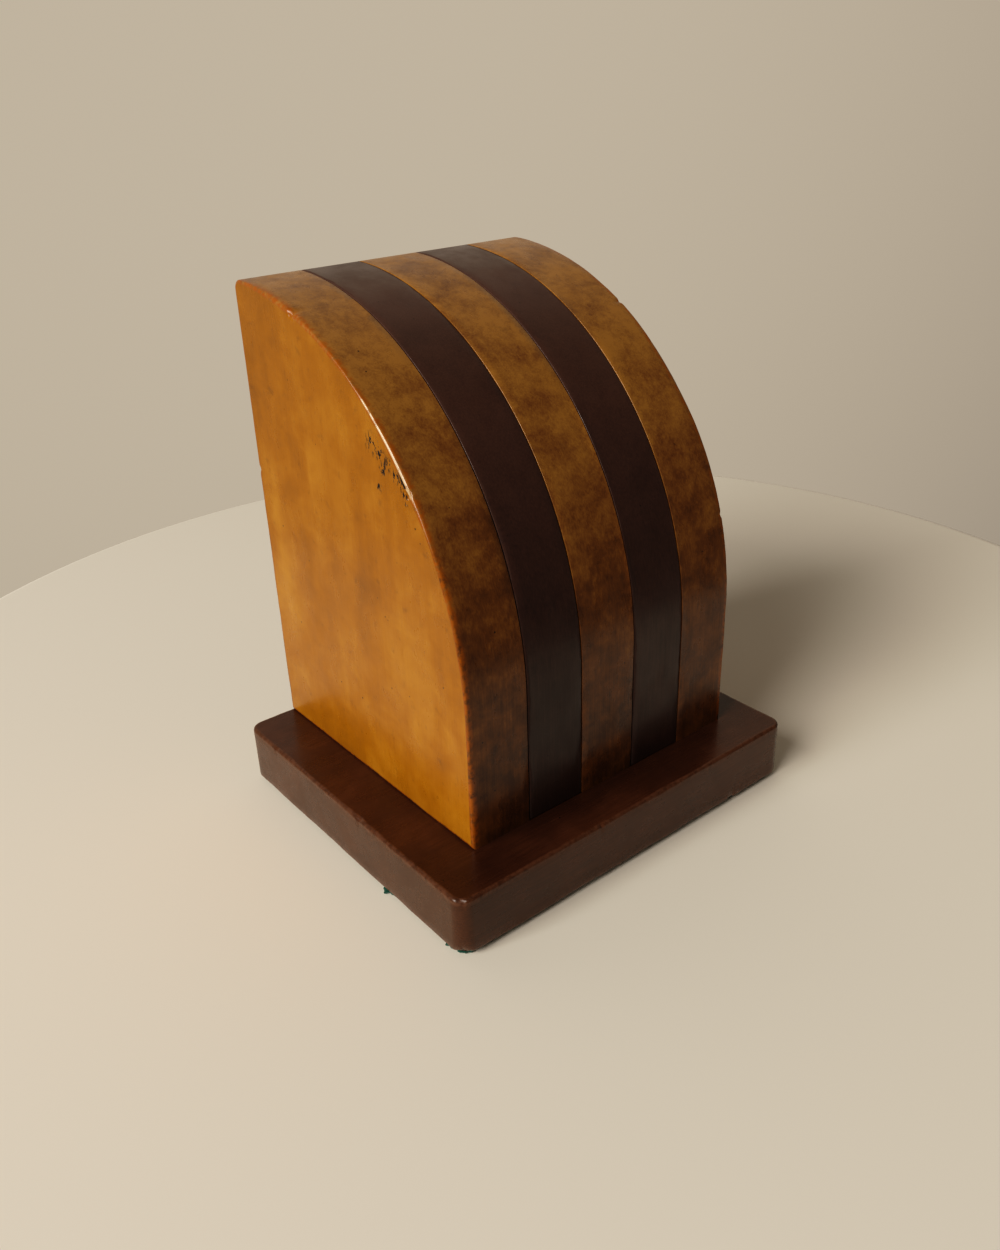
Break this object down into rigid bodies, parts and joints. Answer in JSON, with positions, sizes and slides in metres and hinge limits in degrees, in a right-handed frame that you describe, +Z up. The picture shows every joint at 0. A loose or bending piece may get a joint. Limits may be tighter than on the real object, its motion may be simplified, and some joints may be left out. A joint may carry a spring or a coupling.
{
  "type": "trick box",
  "caption": "Quarter-round striped wooden trick box on a plinth: two dark laminations lift to bare hidden locks, and a secret drawer slides out of its flat back.",
  "frame": {"origin": "middle of the footprint, on the surface it stands on", "axes": "+X across the laminations, to the right seen from the curved front; +Y to the flat back; +Z up"},
  "size_m": [0.104, 0.091, 0.127],
  "materials": {
    "pale_wood": "french polish",
    "dark_wood": "french polish",
    "plinth_wood": "satin wax",
    "core_wood": "bare",
    "brass": "brushed",
    "steel": "brushed",
    "baize": "felted"
  },
  "bodies": {
    "case": {"plinth": "plinth_wood", "plinth_baize": "baize", "left_cheek": "pale_wood", "right_cheek": "pale_wood", "centre_slab": "pale_wood", "core_wall": "core_wood", "core_board": "core_wood", "cheek_dowels": "core_wood", "centre_dowels": "core_wood", "plinth_screws": "steel", "lock_case": "brass", "lock_cover": "brass", "bolt_leaf": "steel", "thumb_case": "brass", "thumb_cover": "brass", "lock_screws": "brass", "key_plate": "brass", "thumb_plate": "brass", "plate_pins": "brass", "drawer_stop": "brass", "ejector_leaf": "steel", "ejector_screws": "brass", "catch_barrels": "brass", "catch_balls": "steel", "catch_springs": "steel"},
    "left_lift": {"left_slide": "dark_wood", "left_slide_neck": "core_wood", "left_keeper": "brass", "left_keeper_screws": "brass"},
    "right_lift": {"right_slide": "dark_wood", "right_slide_neck": "core_wood", "right_keeper": "brass", "right_keeper_screws": "brass"},
    "drawer": {"drawer_front_left": "dark_wood", "drawer_front_centre": "pale_wood", "drawer_front_right": "dark_wood", "drawer_left_side": "core_wood", "drawer_right_side": "core_wood", "drawer_end": "core_wood", "drawer_bottom": "core_wood", "drawer_lining": "baize", "key_staple": "brass", "thumb_staple": "brass", "staple_plates": "brass", "staple_screws": "brass"},
    "key_and_cam": {"key": "brass", "lock_cam": "brass"},
    "key_bolt": {"lock_bolt": "brass"},
    "thumb_catch": {"thumb_bolt": "brass", "thumb_knob": "brass"}
  },
  "joints": [
    {"name": "left_slide_lift", "type": "slide", "parent": "case", "child": "left_lift", "axis": [0, 0, 1], "range_m": [0, 0.025]},
    {"name": "right_slide_lift", "type": "slide", "parent": "case", "child": "right_lift", "axis": [0, 0, 1], "range_m": [0, 0.025]},
    {"name": "drawer_open", "type": "slide", "parent": "case", "child": "drawer", "axis": [0, 1, 0], "range_m": [0, 0.028]},
    {"name": "key_turn", "type": "hinge", "parent": "case", "child": "key_and_cam", "pos_m": [-0.015, -0.01, 0.028], "axis": [0, -1, 0], "range_deg": [0, 90]},
    {"name": "key_bolt_throw", "type": "slide", "parent": "case", "child": "key_bolt", "axis": [0, 0, 1], "range_m": [0, 0.0051]},
    {"name": "thumb_bolt_slide", "type": "slide", "parent": "case", "child": "thumb_catch", "axis": [0, 0, 1], "range_m": [0, 0.006]}
  ],
  "couplings": [
    {"joint": "key_bolt_throw", "follows": "key_turn", "m_per_rad": 0.0031831}
  ]
}
